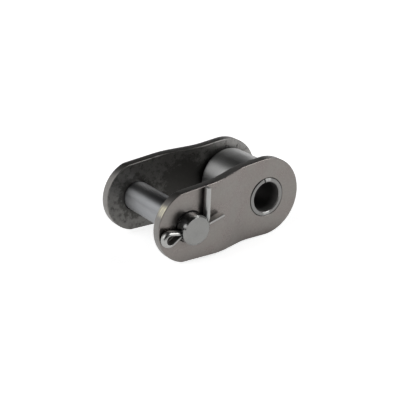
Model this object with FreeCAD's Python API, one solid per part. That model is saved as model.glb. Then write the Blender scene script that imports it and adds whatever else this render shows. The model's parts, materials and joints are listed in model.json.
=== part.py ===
# Offset link of a roller chain: two cranked plates, a curled bush with its roller, and a
# pin that a cotter keeps in place. The origin is the middle of the bush's bore. +X runs
# along the link, away from the pin, +Y along the bush to the pin's riveted end, +Z is up.
import FreeCAD, Part
import math
import os

Vector = FreeCAD.Vector

# Chain sizes, in millimetres
pitch = 19.05
inner_width = 11.68             # between the plates at the bush
pin_diameter = 5.72

# Plates
plate_thickness = 1.8
pin_end_half_height = 6.75      # at the pin's axis
bush_end_half_height = 7.75     # at the bush's axis
pin_end_corner = 0.22           # how far the end's arc stands out of the straight edges
pin_end_shift = 0.3             # from the pin's axis to the centre of that arc
pin_end_blend = 2.5             # rounds the corner between that arc and each edge
bush_end_shift = 0.2
flat_beside_pin = 2.0           # flat plate between the pin and the first bend
flat_beside_bush = 0.1
bend_share = 0.88               # bend radius, as a share of one that leaves no ramp
plate_edge_chamfer = 0.15       # all round the rim, on both faces
hole_edge_chamfer = 0.2
inner_link_clearance = 0.16     # beside the inner link that the wide end straddles

# Bush, a strip curled into a tube with a butt seam
bush_wall = 0.865
bush_proud = 0.1                # how far it stands out of each plate
bush_inner_chamfer = 0.3
bush_outer_chamfer = 0.15
seam_width = 0.08
seam_angle = 97.0               # degrees from +X towards +Z

# Roller
roller_wall = 2.19              # makes the roller 12.07 across
roller_end_play = 0.15          # at each end, between the roller and a plate
roller_edge_radius = 1.0
roller_bore_chamfer = 0.25

# Link pin
pin_reach = 2.4                 # how far it stands out of the front plate
pin_end_chamfer = 0.3
rivet_overhang = 0.35           # how far the head is wider than the pin
rivet_height = 0.9
rivet_crown_chamfer = 0.35

# Cotter, of half-round wire folded flat on flat
cotter_hole_diameter = 1.9
cotter_wire_radius = 0.75
cotter_plate_gap = 0.2          # between the cotter and the front plate
cotter_tilt = 8.0               # degrees, the legs' side higher than the eye
leg_gap = 0.04                  # between the two flats inside the pin
eye_inner_radius = 0.85
eye_stand = 2.3                 # from the pin's surface to the centre of the eye
eye_neck_angle = 22.0           # degrees between each side of the eye and the axis
eye_neck_radius = 1.8
upper_bend_radius = 1.15        # of the flat side, where the upper leg turns up
upper_bend_angle = 78.0
upper_bend_start = 0.5          # inside the pin's surface
upper_leg_length = 5.6
lower_bend_radius = 4.0
lower_bend_angle = 5.0
lower_leg_length = 3.4

# Clearances on the radius
bore_clearance = 0.06           # a mating pin in the bush
roller_clearance = 0.06         # the roller on the bush
slip_clearance = 0.03           # the link pin in the front plate

# Sizes that follow from those above
pin_radius = pin_diameter / 2
bore_radius = pin_radius + bore_clearance
bush_radius = bore_radius + bush_wall
roller_radius = bush_radius + roller_clearance + roller_wall
pin_x = -pitch
inner_face = inner_width / 2
crank_offset = plate_thickness + bush_proud + inner_link_clearance
wide_inner_face = inner_face + crank_offset
wide_outer_face = wide_inner_face + plate_thickness
bush_half_length = inner_face + plate_thickness + bush_proud
pin_end_y = -(wide_outer_face + pin_reach)
cotter_y = -(wide_outer_face + cotter_plate_gap + cotter_wire_radius)
crank_start_x = pin_x + pin_radius + flat_beside_pin
crank_length = -(bush_radius + flat_beside_bush) - crank_start_x
past_all = 2 * pitch            # longer than anything that it cuts through

along_x = Vector(1, 0, 0)
along_y = Vector(0, 1, 0)
along_z = Vector(0, 0, 1)


def segment(start, end):
    return Part.LineSegment(start, end).toShape()


def arc_through(start, middle, end):
    return Part.Arc(start, middle, end).toShape()


def solid_of_revolution(profile, centre, axis):
    # profile holds (radius, height along the axis) pairs, and axis is +Y here
    points = [centre + along_x * radius + axis * height for radius, height in profile]
    face = Part.Face(Part.makePolygon(points + [points[0]]))
    return face.revolve(centre, axis, 360)


def walk(start, heading, steps):
    # Edges of a path in the XZ plane: each step is a straight run, or an arc given by
    # its radius and its turn in degrees, positive to the left seen from the front.
    edges = []
    place = start
    angle = heading
    for step in steps:
        forward = Vector(math.cos(math.radians(angle)), 0, math.sin(math.radians(angle)))
        if len(step) == 1:
            end = place + forward * step[0]
            edges.append(segment(place, end))
        else:
            radius, turn = step
            side = math.copysign(1, turn)
            left = Vector(-forward.z, 0, forward.x)
            centre = place + left * (side * radius)
            middle = centre + turned(place - centre, turn / 2)
            end = centre + turned(place - centre, turn)
            edges.append(arc_through(place, middle, end))
            angle += turn
        place = end
    return edges


def turned(vector, degrees):
    # The vector turned to the left in the XZ plane, seen from the front
    return FreeCAD.Rotation(along_y, -degrees).multVec(vector)


def crank_profile():
    # Section of the rear plate in the XY plane: flat round the pin, two equal bends
    # with a straight ramp between them, and flat again round the bush.
    reach = crank_length ** 2 + crank_offset ** 2
    bend_radius = bend_share * reach / (4 * crank_offset)
    ramp_length = math.sqrt(reach - 4 * bend_radius * crank_offset)
    ramp_angle = 2 * math.atan2(crank_offset, crank_length + ramp_length)
    middle_face = wide_inner_face + plate_thickness / 2
    first_centre = Vector(crank_start_x, middle_face - bend_radius, 0)
    second_centre = Vector(crank_start_x + crank_length, middle_face - crank_offset + bend_radius, 0)

    def outline(offset):
        # The line at this distance outside the middle of the plate
        first_radius = bend_radius + offset
        second_radius = bend_radius - offset

        def first(angle):
            return first_centre + Vector(math.sin(angle), math.cos(angle), 0) * first_radius

        def second(angle):
            return second_centre - Vector(math.sin(angle), math.cos(angle), 0) * second_radius

        far_left = first(0) - along_x * past_all
        far_right = second(0) + along_x * past_all
        return [
            segment(far_left, first(0)),
            arc_through(first(0), first(ramp_angle / 2), first(ramp_angle)),
            segment(first(ramp_angle), second(ramp_angle)),
            arc_through(second(ramp_angle), second(ramp_angle / 2), second(0)),
            segment(second(0), far_right),
        ]

    outer = outline(plate_thickness / 2)
    inner = outline(-plate_thickness / 2)
    left_end = segment(inner[0].Vertexes[0].Point, outer[0].Vertexes[0].Point)
    right_end = segment(inner[-1].Vertexes[-1].Point, outer[-1].Vertexes[-1].Point)
    edges = outer + inner + [left_end, right_end]
    return Part.Face(Part.Wire(Part.__sortEdges__(edges)))


def side_outline():
    # The plate seen along Y: straight edges that spread towards the bush, an arc round
    # each end. The pin end's arc is a little larger than one that meets them smoothly.
    edge_start = Vector(pin_x, 0, pin_end_half_height)
    edge_end = Vector(0, 0, bush_end_half_height)
    direction = (edge_end - edge_start).normalize()

    def end_arc(centre, corner, outward):
        foot = edge_start + direction * (centre - edge_start).dot(direction)
        distance = (foot - centre).Length
        radius = distance + corner
        upper = foot + direction * (outward * math.sqrt(radius ** 2 - distance ** 2))
        lower = Vector(upper.x, 0, -upper.z)
        tip = centre + along_x * (outward * radius)
        return upper, tip, lower

    pin_upper, pin_tip, pin_lower = end_arc(Vector(pin_x + pin_end_shift, 0, 0), pin_end_corner, -1)
    bush_upper, bush_tip, bush_lower = end_arc(Vector(-bush_end_shift, 0, 0), 0, 1)
    return Part.Wire([
        arc_through(pin_lower, pin_tip, pin_upper),
        segment(pin_upper, bush_upper),
        arc_through(bush_upper, bush_tip, bush_lower),
        segment(bush_lower, pin_lower),
    ])


def middle_direction(edge):
    return edge.tangentAt((edge.FirstParameter + edge.LastParameter) / 2)


def pin_end_corners(prism):
    # The two edges along Y where the pin end's arc meets the straight edges
    return [edge for edge in prism.Edges
            if abs(middle_direction(edge).y) > 0.5 and edge.Vertexes[0].X < pin_x + flat_beside_pin]


def rim_edges(blank):
    # The edges between the rim and the two broad faces, all round the plate
    edges = []
    for edge in blank.Edges:
        direction = middle_direction(edge)
        runs_through = abs(direction.y) > math.cos(math.radians(45))
        runs_across = abs(direction.z) > math.cos(math.radians(1)) and edge.Curve.TypeId == "Part::GeomLine"
        if not runs_through and not runs_across:
            edges.append(edge)
    return edges


def plate_hole(blank, x, radius, outer_face):
    # A hole along Y with its edge broken on the outer face
    hole = Part.makeCylinder(radius, past_all, Vector(x, 0, 0), along_y)
    mouth = Part.makeCone(radius, radius + past_all, past_all,
                          Vector(x, outer_face - hole_edge_chamfer, 0), along_y)
    return blank.cut(hole).cut(mouth)


def rear_plate(pin_hole_radius):
    band = crank_profile().extrude(along_z * (2 * past_all))
    band.translate(along_z * -past_all)
    prism = Part.Face(side_outline()).extrude(along_y * past_all)
    prism = prism.makeFillet(pin_end_blend, pin_end_corners(prism))
    blank = band.common(prism).Solids[0]
    blank = blank.makeChamfer(plate_edge_chamfer, rim_edges(blank))
    blank = plate_hole(blank, pin_x, pin_hole_radius, wide_outer_face)
    return plate_hole(blank, 0, bush_radius, inner_face + plate_thickness)


def front_plate(pin_hole_radius):
    return rear_plate(pin_hole_radius).mirror(Vector(0, 0, 0), along_y)


def bushing():
    half = bush_half_length
    tube = solid_of_revolution([
        (bore_radius + bush_inner_chamfer, -half),
        (bush_radius - bush_outer_chamfer, -half),
        (bush_radius, -half + bush_outer_chamfer),
        (bush_radius, half - bush_outer_chamfer),
        (bush_radius - bush_outer_chamfer, half),
        (bore_radius + bush_inner_chamfer, half),
        (bore_radius, half - bush_inner_chamfer),
        (bore_radius, -half + bush_inner_chamfer),
    ], Vector(0, 0, 0), along_y)
    corner = Vector(0, -past_all, -seam_width / 2)
    seam = Part.makeBox(past_all, 2 * past_all, seam_width, corner)
    seam.rotate(Vector(0, 0, 0), along_y, -seam_angle)
    return tube.cut(seam)


def roller():
    half = inner_face - roller_end_play
    hole = bush_radius + roller_clearance
    ring = solid_of_revolution([
        (hole + roller_bore_chamfer, -half),
        (roller_radius, -half),
        (roller_radius, half),
        (hole + roller_bore_chamfer, half),
        (hole, half - roller_bore_chamfer),
        (hole, -half + roller_bore_chamfer),
    ], Vector(0, 0, 0), along_y)
    rims = [edge for edge in ring.Edges
            if edge.Curve.TypeId == "Part::GeomCircle" and edge.Curve.Radius > roller_radius - seam_width]
    return ring.makeFillet(roller_edge_radius, rims)


def link_pin():
    head = pin_radius + rivet_overhang
    head_top = wide_outer_face + rivet_height
    body = solid_of_revolution([
        (0, pin_end_y),
        (pin_radius - pin_end_chamfer, pin_end_y),
        (pin_radius, pin_end_y + pin_end_chamfer),
        (pin_radius, wide_outer_face),
        (head, wide_outer_face),
        (head, head_top - rivet_crown_chamfer),
        (head - rivet_crown_chamfer, head_top),
        (0, head_top),
    ], Vector(pin_x, 0, 0), along_y)
    axis = turned(along_x, cotter_tilt)
    start = Vector(pin_x, cotter_y, 0) - axis * past_all
    hole = Part.makeCylinder(cotter_hole_diameter / 2, 2 * past_all, start, axis)
    return body.cut(hole)


def half_round(place, outward):
    # Section of the wire at the start of its path: its flat lies on the path, across Y,
    # and its round side points outward.
    near = place - along_y * cotter_wire_radius
    far = place + along_y * cotter_wire_radius
    top = place + outward * cotter_wire_radius
    return Part.Wire([segment(near, far), arc_through(far, top, near)])


def cotter_pin():
    # The wire's flat side follows the path: from the tip of the lower leg through the
    # pin, round the eye, back through the pin, and up in front of the plate.
    neck = math.radians(eye_neck_angle)
    side_drop = eye_inner_radius * math.cos(neck) - eye_neck_radius * (1 - math.cos(neck)) - leg_gap / 2
    side_length = side_drop / math.sin(neck)
    neck_length = (eye_inner_radius + eye_neck_radius) * math.sin(neck) + side_length * math.cos(neck)
    eye_centre = -(pin_radius + eye_stand)
    straight_start = eye_centre + neck_length
    bend_start = pin_radius - upper_bend_start
    straight = bend_start - straight_start
    eye_left = Vector(eye_centre - eye_inner_radius, 0, 0)
    upper = walk(eye_left, 90, [
        (eye_inner_radius, -(90 + eye_neck_angle)),
        (side_length,),
        (eye_neck_radius, eye_neck_angle),
        (straight,),
        (upper_bend_radius, upper_bend_angle),
        (upper_leg_length,),
    ])
    lower = walk(eye_left, -90, [
        (eye_inner_radius, 90 + eye_neck_angle),
        (side_length,),
        (eye_neck_radius, -eye_neck_angle),
        (straight + upper_bend_start,),
        (lower_bend_radius, lower_bend_angle),
        (lower_leg_length,),
    ])
    halves = []
    for path in (upper, lower):
        sweep = Part.BRepOffsetAPI.MakePipeShell(Part.Wire(path))
        sweep.setBiNormalMode(along_y)
        sweep.add(half_round(eye_left, -along_x))
        sweep.build()
        sweep.makeSolid()
        halves.append(sweep.shape())
    cotter = halves[0].fuse(halves[1]).removeSplitter()
    cotter.rotate(Vector(0, 0, 0), along_y, -cotter_tilt)
    cotter.translate(Vector(pin_x, cotter_y, 0))
    return cotter


def single_solid(shape):
    solids = shape.Solids
    if len(solids) != 1:
        raise ValueError("a piece of the link has %d solids" % len(solids))
    return solids[0]


pieces = {
    "front_plate": front_plate(pin_radius + slip_clearance),
    "rear_plate": rear_plate(pin_radius),
    "bushing": bushing(),
    "roller": roller(),
    "link_pin": link_pin(),
    "cotter_pin": cotter_pin(),
}

os.makedirs("parts", exist_ok=True)
for name, shape in pieces.items():
    solid = single_solid(shape)
    solid.exportStep("parts/%s.step" % name)
    box = solid.BoundBox
    print("%-12s volume %8.1f mm3, X %6.2f to %6.2f, Y %6.2f to %6.2f, Z %6.2f to %6.2f, valid %s" % (
        name, solid.Volume, box.XMin, box.XMax, box.YMin, box.YMax, box.ZMin, box.ZMax, solid.isValid()))
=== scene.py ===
import json
import math
import bmesh
import bpy
from mathutils import Matrix, Vector


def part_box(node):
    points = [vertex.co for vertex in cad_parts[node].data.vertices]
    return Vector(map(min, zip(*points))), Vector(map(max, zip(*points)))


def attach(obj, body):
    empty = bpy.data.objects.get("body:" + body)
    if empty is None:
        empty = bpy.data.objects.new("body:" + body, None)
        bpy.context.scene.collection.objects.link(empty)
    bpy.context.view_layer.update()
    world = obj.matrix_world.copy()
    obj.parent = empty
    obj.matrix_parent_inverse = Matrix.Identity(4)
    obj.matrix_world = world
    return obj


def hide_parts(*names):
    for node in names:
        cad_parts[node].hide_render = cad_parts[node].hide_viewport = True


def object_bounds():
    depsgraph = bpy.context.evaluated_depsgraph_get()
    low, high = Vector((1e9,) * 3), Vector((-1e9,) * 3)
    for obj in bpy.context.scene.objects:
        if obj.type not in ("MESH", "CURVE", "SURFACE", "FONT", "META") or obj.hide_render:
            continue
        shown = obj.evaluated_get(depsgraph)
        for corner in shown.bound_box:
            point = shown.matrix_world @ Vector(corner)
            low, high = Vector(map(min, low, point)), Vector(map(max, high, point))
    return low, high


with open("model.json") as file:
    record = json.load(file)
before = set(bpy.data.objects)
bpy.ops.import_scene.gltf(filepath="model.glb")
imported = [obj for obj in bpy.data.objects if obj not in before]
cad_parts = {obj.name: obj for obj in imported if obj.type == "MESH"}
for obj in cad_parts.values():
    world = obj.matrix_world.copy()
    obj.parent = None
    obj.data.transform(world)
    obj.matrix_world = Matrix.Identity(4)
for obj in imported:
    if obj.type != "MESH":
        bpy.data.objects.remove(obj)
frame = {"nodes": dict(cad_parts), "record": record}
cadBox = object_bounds()
nodes = frame["nodes"]
print("frame loaded:", sorted(nodes))

# Lengths are in millimetres and angles in degrees, except where a note says otherwise.
# A finish's scales are per metre, and its reaches and heights in metres.
mm = 0.001
mounts = {mount["name"]: mount for mount in frame["record"]["mounts"]}
pinX = mounts["pin_bearing"]["pos_m"][0] / mm
boreRadius = mounts["bush_bore"]["dims"]["r_mm"]


def boxOf(node):
    low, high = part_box(node)
    return Vector(low) / mm, Vector(high) / mm


plateLow, plateHigh = boxOf("rear_plate")
bushLow, bushHigh = boxOf("bushing")
pinNearEnd = boxOf("link_pin")[0].y

camera = {
    "azimuth": -34.72, "elevation": 23.29, "roll": -1.2,
    "distance": 0.2102,                  # metres, from half way between the pin and the bush
    "lens": 99.7, "sensor": 36.0,
    "offsetPixels": (2.06, -3.45), "framePixels": 400,
    "clipStart": 0.01, "clipEnd": 20.0,  # metres
}


def makeCamera(s):
    azimuth = math.radians(s["azimuth"])
    elevation = math.radians(s["elevation"])
    back = Vector((math.sin(azimuth) * math.cos(elevation),
                   -math.cos(azimuth) * math.cos(elevation),
                   math.sin(elevation)))
    data = bpy.data.cameras.new("camera")
    data.lens = s["lens"]
    data.sensor_width = s["sensor"]
    data.shift_x = -s["offsetPixels"][0] / s["framePixels"]
    data.shift_y = s["offsetPixels"][1] / s["framePixels"]
    data.clip_start = s["clipStart"]
    data.clip_end = s["clipEnd"]
    camObject = bpy.data.objects.new("camera", data)
    bpy.context.scene.collection.objects.link(camObject)
    target = Vector((pinX / 2 * mm, 0, 0))
    camObject.location = target + back * s["distance"]
    roll = Matrix.Rotation(math.radians(s["roll"]), 3, "Z")
    turn = (-back).to_track_quat("-Z", "Y").to_matrix() @ roll
    camObject.rotation_mode = "QUATERNION"
    camObject.rotation_quaternion = turn.to_quaternion()
    bpy.context.scene.camera = camObject


makeCamera(camera)
print("camera set")


# Small helpers for node trees

def feed(tree, socket, value):
    # Links a socket to another node's output, or sets it to a plain value
    if isinstance(value, bpy.types.NodeSocket):
        tree.links.new(value, socket)
    else:
        socket.default_value = value


def addNode(tree, kind, inputs=None, **settings):
    node = tree.nodes.new(kind)
    for key, value in settings.items():
        setattr(node, key, value)
    for key, value in (inputs or {}).items():
        feed(tree, node.inputs[key], value)
    return node


def calc(tree, operation, *values):
    return addNode(tree, "ShaderNodeMath", dict(enumerate(values)), operation=operation).outputs[0]


def add(tree, first, second):
    return calc(tree, "ADD", first, second)


def subtract(tree, first, second):
    return calc(tree, "SUBTRACT", first, second)


def multiply(tree, first, second):
    return calc(tree, "MULTIPLY", first, second)


def invert(tree, value):
    return subtract(tree, 1.0, value)


def ramp(tree, value, fromLow, fromHigh, toLow=0.0, toHigh=1.0):
    return addNode(tree, "ShaderNodeMapRange", {
        "Value": value, "From Min": fromLow, "From Max": fromHigh, "To Min": toLow, "To Max": toHigh,
    }, interpolation_type="SMOOTHSTEP").outputs["Result"]


def fade(tree, value, low, high):
    return ramp(tree, value, low, high, 1.0, 0.0)


def mixColor(tree, factor, first, second):
    first, second = [(*c, 1) if isinstance(c, tuple) else c for c in (first, second)]
    return addNode(tree, "ShaderNodeMix", {"Factor": factor, 6: first, 7: second},
                   data_type="RGBA").outputs[2]


def newGroup(name, treeKind, inputs, outputs):
    # inputs and outputs are {kind of socket: names}
    group = bpy.data.node_groups.new(name, treeKind)
    for direction, sockets in (("INPUT", inputs), ("OUTPUT", outputs)):
        for kind, labels in sockets.items():
            for label in labels:
                group.interface.new_socket(label, in_out=direction, socket_type="NodeSocket" + kind)
    return group, addNode(group, "NodeGroupInput").outputs


# Finish effects that all the steels share

effects = {
    "noiseMiddle": 0.5, "noiseRoughness": 0.6, "cloudDetail": 3.0, "grainDetail": 4.0,
    "pitEdge": (0.05, 0.22), "toneGain": 2.0,
    "rubSamples": 6, "rubMatch": (0.8, 0.99),        # of the rounded normal with the true one
    # Painted shade where pieces meet: its samples, unevenness and edge
    "cornerShadeSamples": 6, "cornerShadeUnevenness": 0.4, "cornerShadeEdge": (0.35, 0.9),
    "roughEdge": (0.3, 0.7),                         # of the clouds, between smooth and rough
    "endFacing": (0.8, 0.95), "anisotropicTurn": 0.25,
}


def makeMottle(s):
    # Tumbling leaves soft clouds, a fine grain and small pits
    group, given = newGroup("tumbledSurface", "ShaderNodeTree", {
        "Vector": ["Vector"],
        "Float": ["Cloud Scale", "Cloud Depth", "Grain Scale", "Grain Depth", "Pit Scale", "Pit Depth"],
    }, {"Float": ["Tone", "Cloud", "Height"]})

    def noise(scale, detail):
        return addNode(group, "ShaderNodeTexNoise", {
            "Vector": given["Vector"], "Scale": scale, "Detail": detail,
            "Roughness": s["noiseRoughness"]}).outputs["Fac"]

    def tint(value, depth):
        swing = multiply(group, subtract(group, value, s["noiseMiddle"]), depth)
        return multiply(group, swing, s["toneGain"])

    cloud = noise(given["Cloud Scale"], s["cloudDetail"])
    grain = noise(given["Grain Scale"], s["grainDetail"])
    cells = addNode(group, "ShaderNodeTexVoronoi", {
        "Vector": given["Vector"], "Scale": given["Pit Scale"]})
    pit = fade(group, cells.outputs["Distance"], *s["pitEdge"])
    fine = subtract(group, tint(grain, given["Grain Depth"]), multiply(group, pit, given["Pit Depth"]))
    tone = add(group, add(group, tint(cloud, given["Cloud Depth"]), 1.0), fine)
    addNode(group, "NodeGroupOutput", {
        "Tone": tone, "Cloud": cloud, "Height": subtract(group, grain, pit)})
    return group


def makeEdgeRub(s):
    # Edges rubbed bright: the rounded normal leaves the true one only near an edge
    group, given = newGroup("edgeRub", "ShaderNodeTree",
                            {"Float": ["Reach", "Amount"]}, {"Float": ["Mask"]})
    rounded = addNode(group, "ShaderNodeBevel", {"Radius": given["Reach"]}, samples=s["rubSamples"])
    surface = addNode(group, "ShaderNodeNewGeometry")
    match = addNode(group, "ShaderNodeVectorMath", {
        0: rounded.outputs["Normal"], 1: surface.outputs["Normal"]}, operation="DOT_PRODUCT")
    apart = fade(group, match.outputs["Value"], *s["rubMatch"])
    addNode(group, "NodeGroupOutput", {"Mask": multiply(group, apart, given["Amount"])})
    return group


def makePaintedCornerShade(s):
    # Painted shade: darker in uneven patches where pieces meet, where shade falls
    group, given = newGroup("paintedCornerShade", "ShaderNodeTree",
                            {"Float": ["Reach", "Darkness", "Cloud"]}, {"Float": ["Tone"]})
    hollow = addNode(group, "ShaderNodeAmbientOcclusion", {"Distance": given["Reach"]},
                     samples=s["cornerShadeSamples"])
    patches = multiply(group, subtract(group, given["Cloud"], s["noiseMiddle"]), s["cornerShadeUnevenness"])
    cornerShaded = fade(group, add(group, hollow.outputs["AO"], patches), *s["cornerShadeEdge"])
    addNode(group, "NodeGroupOutput", {"Tone": invert(group, multiply(group, cornerShaded, given["Darkness"]))})
    return group


mottleGroup = makeMottle(effects)
edgeGroup = makeEdgeRub(effects)
cornerShadeGroup = makePaintedCornerShade(effects)


def objectPlace(tree, stretch=None):
    place = addNode(tree, "ShaderNodeTexCoord").outputs["Object"]
    if stretch is None:
        return place
    return addNode(tree, "ShaderNodeMapping", {"Vector": place, "Scale": stretch}).outputs["Vector"]


def partOf(tree, output, axis):
    # One axis of the surface point (Object, in metres) or of the way it faces (Normal)
    place = addNode(tree, "ShaderNodeTexCoord")
    return addNode(tree, "ShaderNodeSeparateXYZ", {0: place.outputs[output]}).outputs[axis]


def facingY(tree):
    return calc(tree, "ABSOLUTE", partOf(tree, "Normal", "Y"))


def endFace(tree):
    # 1 on the flat end faces of a turned piece
    return ramp(tree, facingY(tree), *effects["endFacing"])


def insideRadius(tree, radius, soft, x=0.0, z=0.0):
    # 1 nearer than this radius to a line along Y through x and z
    flat = addNode(tree, "ShaderNodeVectorMath", {
        0: objectPlace(tree), 1: (1, 0, 1), 2: (-x * mm, 0, -z * mm)}, operation="MULTIPLY_ADD")
    away = addNode(tree, "ShaderNodeVectorMath", {0: flat.outputs[0]}, operation="LENGTH")
    return fade(tree, away.outputs["Value"], radius * mm, (radius + soft) * mm)


def steelMaterial(name, s, masks=()):
    # masks are (function that builds the mask in a tree, colour there, roughness there)
    material = bpy.data.materials.new(name)
    material.use_nodes = True
    tree = material.node_tree
    shader = tree.nodes["Principled BSDF"]
    surface = addNode(tree, "ShaderNodeGroup", {
        "Vector": objectPlace(tree, s.get("stretch")),
        "Cloud Scale": s["cloudScale"], "Cloud Depth": s["cloudDepth"],
        "Grain Scale": s["grainScale"], "Grain Depth": s["grainDepth"],
        "Pit Scale": s["pitScale"], "Pit Depth": s["pitDepth"],
    }, node_tree=mottleGroup).outputs
    rough = ramp(tree, surface["Cloud"], *effects["roughEdge"],
                 s["roughness"] - s["roughSpread"], s["roughness"] + s["roughSpread"])
    color = mixColor(tree, surface["Cloud"], s["color"], s["coolColor"])
    for maskMaker, maskColor, maskRoughness in masks:
        mask = maskMaker(tree)
        color = mixColor(tree, mask, color, maskColor)
        rough = add(tree, multiply(tree, rough, invert(tree, mask)),
                    multiply(tree, mask, maskRoughness))
    rub = addNode(tree, "ShaderNodeGroup", {
        "Reach": s["rubReach"], "Amount": s["rubAmount"]}, node_tree=edgeGroup)
    # Painted shade, darker where pieces meet
    cornerShade = addNode(tree, "ShaderNodeGroup", {
        "Reach": s["cornerShadeReach"], "Darkness": s["cornerShadeDarkness"], "Cloud": surface["Cloud"],
    }, node_tree=cornerShadeGroup)
    toned = addNode(tree, "ShaderNodeVectorMath", {
        0: mixColor(tree, rub.outputs["Mask"], color, s["rubColor"]),
        "Scale": multiply(tree, surface["Tone"], cornerShade.outputs["Tone"])}, operation="SCALE")
    bump = addNode(tree, "ShaderNodeBump", {
        "Strength": s["bumpStrength"], "Distance": s["bumpHeight"], "Height": surface["Height"]})
    finish = {"Base Color": toned.outputs[0], "Roughness": rough, "Metallic": 1.0,
              "Normal": bump.outputs["Normal"]}
    if "anisotropic" in s:
        # Turned steel: its rings spread a highlight along the Y axis, but not on the end faces
        turned = addNode(tree, "ShaderNodeTangent", direction_type="RADIAL", axis="Y")
        level = addNode(tree, "ShaderNodeTangent", direction_type="RADIAL", axis="Z")
        tangent = addNode(tree, "ShaderNodeMix", {
            "Factor": endFace(tree), 4: turned.outputs[0], 5: level.outputs[0]}, data_type="VECTOR")
        finish.update({"Tangent": tangent.outputs[1], "Anisotropic": s["anisotropic"],
                       "Anisotropic Rotation": effects["anisotropicTurn"]})
    for label, value in finish.items():
        feed(tree, shader.inputs[label], value)
    return material


# Geometry trees work in millimetres, and their angles are radians

def geometryTree(name, inputs):
    return newGroup(name, "GeometryNodeTree", {
        "Geometry": ["Geometry"], **inputs, "Material": ["Material"]}, {"Geometry": ["Geometry"]})


def splitPosition(tree):
    place = addNode(tree, "GeometryNodeInputPosition")
    return addNode(tree, "ShaderNodeSeparateXYZ", {0: place.outputs[0]}).outputs


def addArc(tree, radius, steps, start, sweep):
    return addNode(tree, "GeometryNodeCurveArc", {
        "Radius": radius, "Resolution": steps, "Start Angle": start, "Sweep Angle": sweep,
    }, mode="RADIUS").outputs["Curve"]


def addFillet(tree, curve, radius, steps):
    return addNode(tree, "GeometryNodeFilletCurve", {
        "Curve": curve, "Radius": radius, "Count": steps}, mode="POLY").outputs[0]


def sweepUpright(tree, path, section):
    # Sweeps a section along a path in the XY plane, and stands the result up in XZ
    sweep = addNode(tree, "GeometryNodeCurveToMesh", {
        "Curve": path, "Profile Curve": section, "Fill Caps": True})
    return addNode(tree, "GeometryNodeTransform", {
        "Geometry": sweep.outputs[0], "Rotation": (math.pi / 2, 0, 0)}).outputs[0]


def closeTree(tree, geometry, given, smoothAngle=None):
    if smoothAngle:
        angle = addNode(tree, "GeometryNodeInputMeshEdgeAngle")
        soft = calc(tree, "LESS_THAN", angle.outputs["Unsigned Angle"], math.radians(smoothAngle))
        geometry = addNode(tree, "GeometryNodeSetShadeSmooth", {
            "Geometry": geometry, "Shade Smooth": soft}, domain="EDGE").outputs[0]
    realize = addNode(tree, "GeometryNodeRealizeInstances", {0: geometry})
    paint = addNode(tree, "GeometryNodeSetMaterial", {
        "Geometry": realize.outputs[0], "Material": given["Material"]})
    addNode(tree, "NodeGroupOutput", {0: paint.outputs[0]})


def bakeTree(name, data, tree, values):
    # Runs the tree on the data and keeps its result as a plain mesh, scaled to metres
    source = bpy.data.objects.new(name + "Source", data)
    bpy.context.scene.collection.objects.link(source)
    modifier = source.modifiers.new("shape", "NODES")
    modifier.node_group = tree
    for item in tree.interface.items_tree:
        if item.in_out == "INPUT" and item.name in values:
            modifier[item.identifier] = values[item.name]
    evaluated = source.evaluated_get(bpy.context.evaluated_depsgraph_get())
    mesh = bpy.data.meshes.new_from_object(evaluated)
    mesh.name = name
    bpy.data.objects.remove(source)
    mesh.transform(Matrix.Scale(mm, 4))
    piece = bpy.data.objects.new(name, mesh)
    bpy.context.scene.collection.objects.link(piece)
    for polygon in mesh.polygons:
        polygon.use_smooth = True
    return piece


# The two cranked plates

plates = {
    "thickness": 1.8,
    "pinEndHalfHeight": 6.75, "bushEndHalfHeight": 7.75,
    "pinEndCorner": 0.22, "pinEndShift": 0.3, "pinEndBlend": 2.5, "bushEndShift": 0.2,
    "flatBesidePin": 2.0, "flatBesideBush": 0.1,
    "bendShare": 0.88,                               # of the largest radius that the bends can have
    "pinRadius": 2.86, "slip": 0.03,                 # slip: room round the pin in the front plate
    "edgeRound": 0.2, "holeRound": 0.2, "flatMargin": 0.04,
    "roundSteps": 4, "arcStep": 3.0, "leastArcSteps": 3, "samePoint": 0.0001,
    "holeSteps": 96, "bendCuts": 12,
    "finish": {
        "color": (0.207, 0.178, 0.171), "coolColor": (0.179, 0.179, 0.165),
        "roughness": 0.3, "roughSpread": 0.04,
        "cloudScale": 320.0, "cloudDepth": 0.16, "grainScale": 2600.0, "grainDepth": 0.16,
        "pitScale": 2600.0, "pitDepth": 0.06,
        "rubColor": (0.34, 0.335, 0.325), "rubReach": 0.00008, "rubAmount": 0.6,
        "bumpStrength": 0.25, "bumpHeight": 0.00002, "cornerShadeReach": 0.0025, "cornerShadeDarkness": 0.3,
    },
    "innerColor": (0.19, 0.186, 0.178), "innerRoughness": 0.41, "innerFacing": (-0.8, -0.6),
    "litInnerEndColor": (0.26, 0.255, 0.245), "litInnerEndRange": (-4.5, -0.5),
    "sootAndShadeColor": (0.085, 0.083, 0.078), "sootAndShadeRoughness": 0.45, "sootAndShadeEdge": (0.48, 0.7),
    "sootScale": 1100.0, "sootDetail": 5.0, "sootNoiseRoughness": 0.7,
    # Where painted shade gathers in the speckle: round the pin and beside the roller
    "paintedShadePlaces": ((pinX, 2.8, 2.6, 0.2), (-8.2, 2.0, 5.5, 0.36)),  # x, radius, fade, strength
    "rimColor": (0.2, 0.192, 0.184), "rimRoughness": 0.38, "rimFacing": (0.35, 0.75),
    "rimGlintColor": (0.56, 0.53, 0.41), "rimGlintEdge": (0.35, 0.6),
    "rimGlintPlace": (-24.4, 4.2, 0.4, 1.1),                          # x, z, radius, fade
    "rimGlintScale": 1200.0, "rimGlintStretch": (0.3, 1.6, 0.3),
}


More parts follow.
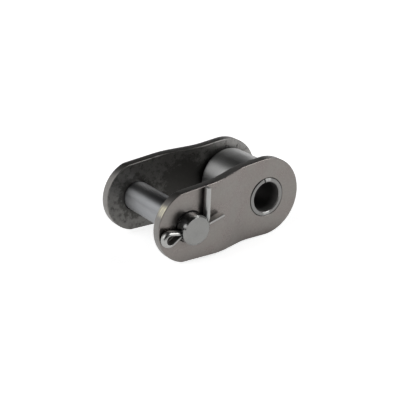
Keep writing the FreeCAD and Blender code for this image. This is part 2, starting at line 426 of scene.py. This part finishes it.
def plateArcs(s):
    # Upper half of the outline, seen along Y: (centre, radius, first angle, last angle)
    start = Vector((pinX, s["pinEndHalfHeight"]))
    along = (Vector((0, s["bushEndHalfHeight"])) - start).normalized()
    outward = Vector((-along.y, along.x))
    reach = start.dot(outward)                       # of the straight edge, from the origin
    pinCentre = Vector((pinX + s["pinEndShift"], 0))
    bushCentre = Vector((-s["bushEndShift"], 0))
    pinArc = reach - pinCentre.dot(outward) + s["pinEndCorner"]
    bushArc = reach - bushCentre.dot(outward)
    across = reach - s["pinEndBlend"] - pinCentre.dot(outward)
    back = math.sqrt((pinArc - s["pinEndBlend"]) ** 2 - across ** 2)
    blendCentre = pinCentre + outward * across - along * back
    corner = blendCentre - pinCentre
    cornerAngle = math.atan2(corner.y, corner.x)
    edgeAngle = math.atan2(outward.y, outward.x)
    return [(pinCentre, pinArc, math.pi, cornerAngle),
            (blendCentre, s["pinEndBlend"], cornerAngle, edgeAngle),
            (bushCentre, bushArc, edgeAngle, 0.0)]


def outlineLoop(s, inset):
    upper = []
    for centre, radius, first, last in plateArcs(s):
        count = max(s["leastArcSteps"], round(math.degrees(first - last) / s["arcStep"]))
        for i in range(count + 1):
            angle = first + (last - first) * i / count
            point = centre + Vector((math.cos(angle), math.sin(angle))) * (radius - inset)
            if not upper or (point - upper[-1]).length > s["samePoint"]:
                upper.append(point)
    lower = [Vector((point.x, -point.y)) for point in reversed(upper[1:-1])]
    return upper + lower


def holeLoop(s, x, radius):
    angles = [2 * math.pi * i / s["holeSteps"] for i in range(s["holeSteps"])]
    return [Vector((x + radius * math.cos(a), radius * math.sin(a))) for a in angles]


def bendSizes(s):
    # Where the crank starts and how long it is, and the radius and angle of its two bends
    offset = plateHigh.y - plateLow.y - s["thickness"]
    start = pinX + s["pinRadius"] + s["flatBesidePin"]
    length = -(bushHigh.z + s["flatBesideBush"]) - start
    reach = length ** 2 + offset ** 2
    radius = s["bendShare"] * reach / (4 * offset)
    rampLength = math.sqrt(reach - 4 * radius * offset)
    return start, length, radius, 2 * math.atan2(offset, length + rampLength)


def flatBlank(s, pinHole):
    # The plate before it is bent: outer face at +Y, with every rim rounded
    half = s["thickness"] / 2
    turns = [math.pi / 2 * i / s["roundSteps"] for i in range(s["roundSteps"] + 1)]
    face = [(1.0, 0.0, s["flatMargin"])] + [(1 - math.sin(t), 1 - math.cos(t), 0.0) for t in turns]
    profile = [(1, *level) for level in face] + [(-1, *level) for level in reversed(face)]
    mesh = bmesh.new()
    borders = {0: [], len(profile) - 1: []}
    shapes = [(s["edgeRound"], lambda inset: outlineLoop(s, inset)),
              (s["holeRound"], lambda inset: holeLoop(s, pinX, pinHole + inset)),
              (s["holeRound"], lambda inset: holeLoop(s, 0, bushHigh.z + inset))]
    for rounding, loopAt in shapes:
        rings = []
        for side, inset, drop, margin in profile:
            depth = side * (half - drop * rounding)
            points = loopAt(inset * rounding + margin)
            rings.append([mesh.verts.new((p.x, depth, p.y)) for p in points])
        for first, second in zip(rings, rings[1:]):
            for i in range(len(first)):
                j = (i + 1) % len(first)
                mesh.faces.new((first[i], first[j], second[j], second[i]))
        for level, edges in borders.items():
            ring = rings[level]
            edges += [mesh.edges.get(pair) for pair in zip(ring, ring[1:] + ring[:1])]
    for level, edges in borders.items():
        outward = (0, 1 if level == 0 else -1, 0)
        bmesh.ops.triangle_fill(mesh, use_beauty=True, edges=edges, normal=outward)
    start, length, radius, angle = bendSizes(s)
    bendWidth = radius * math.sin(angle)
    for first in (start, start + length - bendWidth):
        for i in range(s["bendCuts"] + 1):
            x = first + bendWidth * i / s["bendCuts"]
            everything = mesh.verts[:] + mesh.edges[:] + mesh.faces[:]
            bmesh.ops.bisect_plane(mesh, geom=everything, plane_co=(x, 0, 0), plane_no=(1, 0, 0))
    bmesh.ops.recalc_face_normals(mesh, faces=mesh.faces[:])
    data = bpy.data.meshes.new("plateBlank")
    mesh.to_mesh(data)
    mesh.free()
    return data


def makeCrankTree():
    # Bends a flat plate: one bend in, a straight ramp, and an equal bend back
    tree, given = geometryTree("crankedPlate", {
        "Float": ["Middle", "Start", "Length", "Bend Radius", "Ramp Angle", "Side"]})
    x, depth, z = splitPosition(tree)
    radius, angle = given["Bend Radius"], given["Ramp Angle"]
    bendWidth = multiply(tree, radius, calc(tree, "SINE", angle))
    end = add(tree, given["Start"], given["Length"])
    rampWidth = subtract(tree, given["Length"], multiply(tree, bendWidth, 2.0))

    def clamped(value, limit):
        return calc(tree, "MINIMUM", calc(tree, "MAXIMUM", value, 0.0), limit)

    def otherSide(longest, side):
        # The third side of a right-angled triangle
        squares = [multiply(tree, value, value) for value in (longest, side)]
        return calc(tree, "SQRT", subtract(tree, *squares))

    fromStart = subtract(tree, x, given["Start"])
    first = clamped(fromStart, bendWidth)
    onRamp = clamped(subtract(tree, fromStart, bendWidth), rampWidth)
    last = clamped(subtract(tree, end, x), bendWidth)
    firstDrop = subtract(tree, radius, otherSide(radius, first))
    rampDrop = multiply(tree, onRamp, calc(tree, "TANGENT", angle))
    bendHeight = multiply(tree, radius, calc(tree, "COSINE", angle))
    lastDrop = subtract(tree, otherSide(radius, last), bendHeight)
    drop = add(tree, add(tree, firstDrop, rampDrop), lastDrop)
    lean = calc(tree, "DIVIDE", calc(tree, "MINIMUM", first, last), radius)
    newX = add(tree, x, multiply(tree, depth, lean))
    newY = add(tree, subtract(tree, given["Middle"], drop), multiply(tree, depth, otherSide(1.0, lean)))
    joined = addNode(tree, "ShaderNodeCombineXYZ", {
        0: newX, 1: multiply(tree, newY, given["Side"]), 2: z})
    move = addNode(tree, "GeometryNodeSetPosition", {
        "Geometry": given["Geometry"], "Position": joined.outputs[0]})
    mirrored = calc(tree, "LESS_THAN", given["Side"], 0.0)
    flip = addNode(tree, "GeometryNodeFlipFaces", {"Mesh": move.outputs[0], "Selection": mirrored})
    closeTree(tree, flip.outputs[0], given)
    return tree


def makePlate(s, name, side, pinHole, crankTree):
    def rim(tree):
        return fade(tree, facingY(tree), *s["rimFacing"])

    def inner(tree):
        # The face towards the other plate
        return fade(tree, multiply(tree, partOf(tree, "Normal", "Y"), side), *s["innerFacing"])

    def litInnerEnd(tree):
        # Painted light: the inner face brighter towards the bush end
        low, high = s["litInnerEndRange"]
        return multiply(tree, inner(tree), ramp(tree, partOf(tree, "Object", "X"), low * mm, high * mm))

    def sootAndShade(tree):
        # Speckled dark patches, with painted shade gathered round the pin and beside the roller
        spots = addNode(tree, "ShaderNodeTexNoise", {
            "Vector": objectPlace(tree), "Scale": s["sootScale"], "Detail": s["sootDetail"],
            "Roughness": s["sootNoiseRoughness"]})
        spread = spots.outputs["Fac"]
        for x, radius, soft, gather in s["paintedShadePlaces"]:
            spread = add(tree, spread, multiply(tree, insideRadius(tree, radius, soft, x), gather))
        return multiply(tree, inner(tree), ramp(tree, spread, *s["sootAndShadeEdge"]))

    def paintedRimGlint(tree):
        # Painted highlight: a bright straw-coloured patch on the rim
        x, z, radius, soft = s["rimGlintPlace"]
        streak = addNode(tree, "ShaderNodeTexNoise", {
            "Vector": objectPlace(tree, s["rimGlintStretch"]), "Scale": s["rimGlintScale"]})
        uneven = ramp(tree, streak.outputs["Fac"], *s["rimGlintEdge"])
        return multiply(tree, rim(tree), multiply(tree, insideRadius(tree, radius, soft, x, z), uneven))

    masks = [(inner, s["innerColor"], s["innerRoughness"]),
             (litInnerEnd, s["litInnerEndColor"], s["innerRoughness"]),
             (sootAndShade, s["sootAndShadeColor"], s["sootAndShadeRoughness"]),
             (rim, s["rimColor"], s["rimRoughness"])]
    if name == "front_plate":
        masks.append((paintedRimGlint, s["rimGlintColor"], s["rimRoughness"]))
    start, length, radius, angle = bendSizes(s)
    piece = bakeTree(name + "Dressed", flatBlank(s, pinHole), crankTree, {
        "Middle": plateHigh.y - s["thickness"] / 2, "Start": start, "Length": length,
        "Bend Radius": radius, "Ramp Angle": angle, "Side": side,
        "Material": steelMaterial(name + "Steel", s["finish"], masks)})
    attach(piece, "link")
    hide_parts(name)
    print(name, "dressed,", len(piece.data.polygons), "faces")


plateTree = makeCrankTree()
makePlate(plates, "front_plate", -1.0, plates["pinRadius"] + plates["slip"], plateTree)
makePlate(plates, "rear_plate", 1.0, plates["pinRadius"], plateTree)

# The bush, a strip curled round until its ends meet

bush = {
    "innerRound": 0.3, "outerRound": 0.16, "roundSteps": 5,
    "seamGap": 0.26, "seamAngle": 97.0, "turnSteps": 144, "smoothAngle": 35.0,
    "finish": {
        "color": (0.2, 0.195, 0.19), "coolColor": (0.18, 0.18, 0.176),
        "roughness": 0.3, "roughSpread": 0.05,
        "cloudScale": 400.0, "cloudDepth": 0.14, "grainScale": 3000.0, "grainDepth": 0.1,
        "pitScale": 1800.0, "pitDepth": 0.1,
        "rubColor": (0.42, 0.415, 0.41), "rubReach": 0.0001, "rubAmount": 0.4,
        "bumpStrength": 0.2, "bumpHeight": 0.00002, "cornerShadeReach": 0.0008, "cornerShadeDarkness": 0.4,
    },
    "boreShadeColor": (0.085, 0.081, 0.08), "boreRoughness": 0.6, "boreMargin": 0.03, "boreFade": 0.08,
    "paintedGlintColor": (0.34, 0.34, 0.333), "glintFade": 0.45,
    "paintedGlints": ((88.0, 0.75, 0.1), (79.0, 0.7, 0.1),                 # angle, share of the wall, radius
               (262.0, 0.2, 0.2), (274.0, 0.2, 0.2)),
    "ringShadeColor": (0.05, 0.05, 0.05), "ringShadeAngle": -25.0, "ringShadeWidth": 0.2, "ringShadeShare": 0.7,
    "lipLightColor": (0.34, 0.335, 0.328), "lipRoughness": 0.5, "lipReach": 2.5,
}


def makeBushTree(s):
    tree, given = geometryTree("curledBush", {
        "Float": ["Bore Radius", "Outer Radius", "Length", "Inner Round", "Outer Round",
                  "Seam Angle", "Seam Gap"],
        "Int": ["Round Steps", "Turn Steps"]})
    wall = subtract(tree, given["Outer Radius"], given["Bore Radius"])
    middle = add(tree, given["Bore Radius"], multiply(tree, wall, 0.5))
    gapAngle = calc(tree, "DIVIDE", given["Seam Gap"], middle)
    start = add(tree, given["Seam Angle"], multiply(tree, gapAngle, 0.5))
    strip = addArc(tree, middle, given["Turn Steps"], start, subtract(tree, 2 * math.pi, gapAngle))
    section = addNode(tree, "GeometryNodeCurvePrimitiveQuadrilateral", {
        "Width": wall, "Height": given["Length"]}, mode="RECTANGLE")
    isOuter = calc(tree, "GREATER_THAN", splitPosition(tree)[0], 0.0)
    extra = multiply(tree, isOuter, subtract(tree, given["Outer Round"], given["Inner Round"]))
    rounded = addFillet(tree, section.outputs[0], add(tree, given["Inner Round"], extra),
                        given["Round Steps"])
    closeTree(tree, sweepUpright(tree, strip, rounded), given, s["smoothAngle"])
    return tree


def makeBush(s):
    def bore(tree):
        # Painted shade: the bore's wall, darkened
        return insideRadius(tree, boreRadius + s["boreMargin"], s["boreFade"])

    def paintedGlint(tree):
        # Painted highlights: bright spots on the ring's face
        spots = 0.0
        for angle, share, radius in s["paintedGlints"]:
            out = boreRadius + (bushHigh.z - boreRadius) * share
            turn = math.radians(angle)
            x, z = out * math.cos(turn), out * math.sin(turn)
            spots = calc(tree, "MAXIMUM", spots, insideRadius(tree, radius, s["glintFade"], x, z))
        return spots

    def paintedRingShade(tree):
        # Painted shade: darker where the bush meets the plate, to the lower right of the hole
        turn = math.radians(s["ringShadeAngle"])
        along = addNode(tree, "ShaderNodeVectorMath", {
            0: objectPlace(tree), 1: (math.cos(turn), 0, math.sin(turn))}, operation="DOT_PRODUCT")
        side = ramp(tree, along.outputs["Value"], 0.0, bushHigh.z * s["ringShadeShare"] * mm)
        middle = insideRadius(tree, bushHigh.z - s["ringShadeWidth"], s["boreFade"])
        return multiply(tree, side, invert(tree, middle))

    def litLip(tree):
        # Painted light: the bore is brighter towards its two ends
        depth = calc(tree, "ABSOLUTE", partOf(tree, "Object", "Y"))
        nearEnd = ramp(tree, depth, (bushHigh.y - s["lipReach"]) * mm, bushHigh.y * mm)
        return multiply(tree, bore(tree), nearEnd)

    masks = [(paintedGlint, s["paintedGlintColor"], s["finish"]["roughness"]),
             (bore, s["boreShadeColor"], s["boreRoughness"]),
             (litLip, s["lipLightColor"], s["lipRoughness"]),
             (paintedRingShade, s["ringShadeColor"], s["boreRoughness"])]
    piece = bakeTree("bushDressed", bpy.data.meshes.new("empty"), makeBushTree(s), {
        "Bore Radius": boreRadius, "Outer Radius": bushHigh.z, "Length": bushHigh.y - bushLow.y,
        "Inner Round": s["innerRound"], "Outer Round": s["outerRound"], "Round Steps": s["roundSteps"],
        "Seam Angle": math.radians(s["seamAngle"]), "Seam Gap": s["seamGap"],
        "Turn Steps": s["turnSteps"], "Material": steelMaterial("bushSteel", s["finish"], masks)})
    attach(piece, "link")
    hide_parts("bushing")
    print("bush dressed,", len(piece.data.polygons), "faces")


makeBush(bush)

# The cotter, half-round wire folded flat on flat

cotter = {
    "wireRadius": 0.75, "wireEdgeRound": 0.1, "edgeSteps": 3, "sectionSteps": 20,
    "pathStep": 6.0, "leastArcSteps": 2, "smoothAngle": 50.0,
    "plateGap": 0.2, "tilt": 8.0, "legGap": 0.04,
    "eyeInnerRadius": 0.85, "eyeStand": 2.3, "eyeNeckAngle": 22.0, "eyeNeckRadius": 1.8,
    "upperBendRadius": 1.15, "upperBendAngle": 78.0, "upperBendStart": 0.5, "upperLegLength": 5.6,
    "lowerBendRadius": 4.0, "lowerBendAngle": 5.0, "lowerLegLength": 3.4,
    "finish": {
        "color": (0.36, 0.357, 0.347), "coolColor": (0.33, 0.333, 0.325),
        "roughness": 0.34, "roughSpread": 0.05,
        "cloudScale": 500.0, "cloudDepth": 0.16, "grainScale": 3500.0, "grainDepth": 0.12,
        "pitScale": 2200.0, "pitDepth": 0.12,
        "rubColor": (0.46, 0.46, 0.45), "rubReach": 0.0001, "rubAmount": 0.5,
        "bumpStrength": 0.2, "bumpHeight": 0.00002, "cornerShadeReach": 0.0006, "cornerShadeDarkness": 0.2,
    },
}


def walk(s, start, heading, steps):
    # Points of a path: a step is (length,) or (radius, turn), where a turn to the left is positive
    points = [start]
    angle = math.radians(heading)
    for step in steps:
        forward = Vector((math.cos(angle), math.sin(angle)))
        if len(step) == 1:
            points.append(points[-1] + forward * step[0])
            continue
        radius, turn = step
        side = math.copysign(1, turn)
        centre = points[-1] + Vector((-forward.y, forward.x)) * (side * radius)
        spoke = points[-1] - centre
        count = max(s["leastArcSteps"], round(abs(turn) / s["pathStep"]))
        for i in range(1, count + 1):
            points.append(centre + Matrix.Rotation(math.radians(turn * i / count), 2) @ spoke)
        angle += math.radians(turn)
    return points


def wirePath(s):
    # Along the wire's flat: up the lower leg, through the pin, round the eye and back
    neck = math.radians(s["eyeNeckAngle"])
    eyeRadius, neckRadius, pinRadius = s["eyeInnerRadius"], s["eyeNeckRadius"], plates["pinRadius"]
    sideDrop = eyeRadius * math.cos(neck) - neckRadius * (1 - math.cos(neck)) - s["legGap"] / 2
    sideLength = sideDrop / math.sin(neck)
    neckLength = (eyeRadius + neckRadius) * math.sin(neck) + sideLength * math.cos(neck)
    eyeCentre = -(pinRadius + s["eyeStand"])
    straight = pinRadius - s["upperBendStart"] - (eyeCentre + neckLength)

    def half(side, *leg):
        # From the eye's left end round the eye, through the neck and on along a leg
        return walk(s, Vector((eyeCentre - eyeRadius, 0)), 90 * side, [
            (eyeRadius, -(90 + s["eyeNeckAngle"]) * side), (sideLength,),
            (neckRadius, s["eyeNeckAngle"] * side), *leg])

    upper = half(1, (straight,), (s["upperBendRadius"], s["upperBendAngle"]), (s["upperLegLength"],))
    lower = half(-1, (straight + s["upperBendStart"],), (s["lowerBendRadius"], s["lowerBendAngle"]),
                 (s["lowerLegLength"],))
    points = list(reversed(lower)) + upper[1:]
    curve = bpy.data.curves.new("wirePath", "CURVE")
    curve.dimensions = "3D"
    spline = curve.splines.new("POLY")
    spline.points.add(len(points) - 1)
    for target, point in zip(spline.points, points):
        target.co = (point.x, point.y, 0, 1)
    return curve


def makeWireTree(s):
    # Sweeps a half-round section with its flat on the path, then stands it in place
    tree, given = geometryTree("halfRoundWire", {
        "Float": ["Wire Radius", "Edge Round", "Tilt"], "Int": ["Edge Steps", "Section Steps"],
        "Vector": ["Place"]})
    arc = addArc(tree, given["Wire Radius"], given["Section Steps"], math.pi / 2, math.pi)
    ring = addNode(tree, "GeometryNodeSetSplineCyclic", {"Geometry": arc, "Cyclic": True})
    justInside = -0.001                              # the flat lies at 0, and the round side below it
    onFlat = calc(tree, "GREATER_THAN", splitPosition(tree)[0], justInside)
    section = addFillet(tree, ring.outputs[0], multiply(tree, onFlat, given["Edge Round"]),
                        given["Edge Steps"])
    level = addNode(tree, "GeometryNodeSetCurveNormal", {"Curve": given["Geometry"]}, mode="Z_UP")
    tilt = addNode(tree, "ShaderNodeCombineXYZ", {1: multiply(tree, given["Tilt"], -1.0)})
    lay = addNode(tree, "GeometryNodeTransform", {
        "Geometry": sweepUpright(tree, level.outputs[0], section),
        "Rotation": tilt.outputs[0], "Translation": given["Place"]})
    closeTree(tree, lay.outputs[0], given, s["smoothAngle"])
    return tree


def makeCotter(s):
    middle = -(plateHigh.y + s["plateGap"] + s["wireRadius"])
    piece = bakeTree("cotterDressed", wirePath(s), makeWireTree(s), {
        "Wire Radius": s["wireRadius"], "Edge Round": s["wireEdgeRound"], "Edge Steps": s["edgeSteps"],
        "Section Steps": s["sectionSteps"], "Tilt": math.radians(s["tilt"]),
        "Place": (pinX, middle, 0.0), "Material": steelMaterial("cotterSteel", s["finish"])})
    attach(piece, "link")
    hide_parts("cotter_pin")
    print("cotter dressed,", len(piece.data.polygons), "faces")


makeCotter(cotter)

# The pin and the roller keep their solids and get their finish

pin = {
    "finish": {
        "color": (0.302, 0.307, 0.317), "coolColor": (0.284, 0.291, 0.302),
        "roughness": 0.36, "roughSpread": 0.04, "stretch": (1.0, 0.12, 1.0), "anisotropic": 0.85,
        "cloudScale": 500.0, "cloudDepth": 0.12, "grainScale": 3500.0, "grainDepth": 0.1,
        "pitScale": 1800.0, "pitDepth": 0.05,
        "rubColor": (0.42, 0.42, 0.42), "rubReach": 0.0001, "rubAmount": 0.2,
        "bumpStrength": 0.12, "bumpHeight": 0.00002, "cornerShadeReach": 0.0008, "cornerShadeDarkness": 0.7,
    },
    "faceColor": (0.216, 0.216, 0.21), "faceRoughness": 0.38,
    "chamferRoughness": 0.22, "chamferFacing": (0.45, 0.62),
    "farLitColor": (0.39, 0.397, 0.408), "farRange": (0.5, 7.6),
    "stubColor": (0.32, 0.325, 0.33), "stubRoughness": 0.17, "stubFade": 0.3,
    "paintedGlintColor": (0.62, 0.62, 0.61), "glintRoughness": 0.5, "glintAngle": 148.0,
    "glintRadius": 0.1, "glintFade": 0.5, "glintDepth": 0.4,
}
roller = {
    "finish": {
        "color": (0.385, 0.385, 0.38), "coolColor": (0.36, 0.362, 0.36),
        "roughness": 0.42, "roughSpread": 0.04, "stretch": (0.2, 1.0, 0.2), "anisotropic": 0.9,
        "cloudScale": 400.0, "cloudDepth": 0.12, "grainScale": 4000.0, "grainDepth": 0.12,
        "pitScale": 1500.0, "pitDepth": 0.06,
        "rubColor": (0.36, 0.36, 0.355), "rubReach": 0.0001, "rubAmount": 0.3,
        "bumpStrength": 0.12, "bumpHeight": 0.00002, "cornerShadeReach": 0.0035, "cornerShadeDarkness": 0.85,
    },
    "holeShadeColor": (0.08, 0.078, 0.075), "holeRoughness": 0.4, "holeMargin": 0.2, "holeFade": 0.1,
}


def paintNode(name, material):
    data = nodes[name].data
    data.materials.clear()
    data.materials.append(material)


def pinEnd(tree):
    # The chamfers and the end faces
    return ramp(tree, facingY(tree), *pin["chamferFacing"])


def pinLitFar(tree):
    # Painted light: brighter towards the rear plate
    near, far = pin["farRange"]
    return ramp(tree, partOf(tree, "Object", "Y"), near * mm, far * mm)


def pinPaintedGlint(tree):
    # Painted highlight: a bright spot at the rim of the pin's near end
    turn = math.radians(pin["glintAngle"])
    x = pinX + plates["pinRadius"] * math.cos(turn)
    z = plates["pinRadius"] * math.sin(turn)
    near = insideRadius(tree, pin["glintRadius"], pin["glintFade"], x, z)
    atEnd = fade(tree, partOf(tree, "Object", "Y"), (pinNearEnd + pin["glintDepth"]) * mm,
                 (pinNearEnd + 2 * pin["glintDepth"]) * mm)
    return multiply(tree, multiply(tree, near, atEnd), invert(tree, endFace(tree)))


def pinStub(tree):
    # 1 on the part of the pin that stands out of the front plate
    return fade(tree, partOf(tree, "Object", "Y"), (-plateHigh.y - pin["stubFade"]) * mm,
                (-plateHigh.y + pin["stubFade"]) * mm)


def rollerHoleShade(tree):
    # Painted shade: the hole's wall and its edge, darkened
    return insideRadius(tree, bushHigh.z + roller["holeMargin"], roller["holeFade"])


paintNode("link_pin", steelMaterial("pinSteel", pin["finish"], [
    (pinLitFar, pin["farLitColor"], pin["finish"]["roughness"]),
    (pinStub, pin["stubColor"], pin["stubRoughness"]),
    (pinEnd, pin["faceColor"], pin["chamferRoughness"]),
    (endFace, pin["faceColor"], pin["faceRoughness"]),
    (pinPaintedGlint, pin["paintedGlintColor"], pin["glintRoughness"])]))
paintNode("roller", steelMaterial("rollerSteel", roller["finish"], [
    (rollerHoleShade, roller["holeShadeColor"], roller["holeRoughness"])]))
print("materials set")

# The studio: a white floor, dark above the front, a bright low band behind. Lengths in metres

studio = {
    "floorColor": (0.8, 0.8, 0.8), "floorRoughness": 0.9, "floorSize": 6.0,
    "floorGlow": 0.72, "mirrorGlow": 0.76, "shadeReach": 0.0065, "shadeSamples": 8,
    "lampAim": (-0.0095, 0, 0), "lampDistance": 0.7,
    "lamps": {
        "key": {"power": 0.4, "size": 0.3, "direction": (0.8, 0.45, 0.4)},
        "top": {"power": 1.95, "size": 0.35, "direction": (0.56, -0.62, 0.52)},
        "side": {"power": 1.1, "size": 0.5, "direction": (-0.78, 0.05, 0.62)},
    },
    "darkLevel": 0.03, "bandLevel": 1.1, "bandLevelRight": 0.42, "levelRange": (-0.4, 0.3),
    "bandEdge": (0.62, 1.08),                        # height over distance from Y, where it fades
    "bandShiftRight": 0.38, "shiftRange": (-0.1, 0.3),
    "frontDark": (-0.35, 0.05), "leftDark": (-0.2, 0.4), "leastSideways": 0.01,
}
white = (1, 1, 1, 1)


def seenRay(tree, *names):
    # 1 for rays of these kinds
    path = addNode(tree, "ShaderNodeLightPath")
    seen = path.outputs[names[0]]
    for name in names[1:]:
        seen = calc(tree, "MAXIMUM", seen, path.outputs[name])
    return seen


def makeFloor(s):
    half = s["floorSize"] / 2
    ground = cadBox[0].z
    mesh = bpy.data.meshes.new("floor")
    corners = ((-half, -half), (half, -half), (half, half), (-half, half))
    mesh.from_pydata([(x, y, ground) for x, y in corners], [], [(0, 1, 2, 3)])
    floor = bpy.data.objects.new("floor", mesh)
    bpy.context.scene.collection.objects.link(floor)
    material = bpy.data.materials.new("floorPaper")
    material.use_nodes = True
    tree = material.node_tree
    shade = addNode(tree, "ShaderNodeAmbientOcclusion", {"Distance": s["shadeReach"]},
                    samples=s["shadeSamples"])
    seen = multiply(tree, seenRay(tree, "Is Camera Ray"), s["floorGlow"])
    mirrored = multiply(tree, seenRay(tree, "Is Glossy Ray", "Is Transmission Ray"),
                        multiply(tree, shade.outputs["AO"], s["mirrorGlow"]))
    paper = {"Base Color": (*s["floorColor"], 1), "Roughness": s["floorRoughness"],
             "Emission Color": white, "Emission Strength": calc(tree, "MAXIMUM", seen, mirrored)}
    for label, value in paper.items():
        feed(tree, tree.nodes["Principled BSDF"].inputs[label], value)
    mesh.materials.append(material)


def makeWorld(s):
    world = bpy.data.worlds.new("studioWorld")
    bpy.context.scene.world = world
    world.use_nodes = True
    tree = world.node_tree
    place = addNode(tree, "ShaderNodeTexCoord")
    x, y, z = addNode(tree, "ShaderNodeSeparateXYZ", {0: place.outputs["Generated"]}).outputs
    # Bright walls and a dark top, by the angle that a turned piece along Y sees
    sideways = calc(tree, "SQRT", add(tree, multiply(tree, x, x), multiply(tree, z, z)))
    height = calc(tree, "DIVIDE", z, calc(tree, "MAXIMUM", sideways, s["leastSideways"]))
    lifted = add(tree, height, ramp(tree, x, *s["shiftRange"], 0.0, s["bandShiftRight"]))
    strength = ramp(tree, x, *s["levelRange"], s["bandLevel"], s["bandLevelRight"])
    frontLeft = multiply(tree, fade(tree, y, *s["frontDark"]), fade(tree, x, *s["leftDark"]))
    band = multiply(tree, fade(tree, lifted, *s["bandEdge"]),
                    multiply(tree, strength, invert(tree, frontLeft)))
    mix = addNode(tree, "ShaderNodeMix", {
        "Factor": seenRay(tree, "Is Camera Ray"), "A": add(tree, band, s["darkLevel"]), "B": 1.0,
    }, data_type="FLOAT")
    background = tree.nodes["Background"]
    feed(tree, background.inputs["Color"], white)
    feed(tree, background.inputs["Strength"], mix.outputs["Result"])


def makeLamp(s, name):
    lampSettings = s["lamps"][name]
    data = bpy.data.lights.new(name, "AREA")
    data.size = lampSettings["size"]
    data.energy = lampSettings["power"]
    lamp = bpy.data.objects.new(name, data)
    bpy.context.scene.collection.objects.link(lamp)
    direction = Vector(lampSettings["direction"]).normalized()
    lamp.location = Vector(s["lampAim"]) + direction * s["lampDistance"]
    lamp.rotation_mode = "QUATERNION"
    lamp.rotation_quaternion = (-direction).to_track_quat("-Z", "Y")


makeFloor(studio)
makeWorld(studio)
for lampName in studio["lamps"]:
    makeLamp(studio, lampName)
bpy.context.scene.view_settings.view_transform = "Standard"
print("studio set")
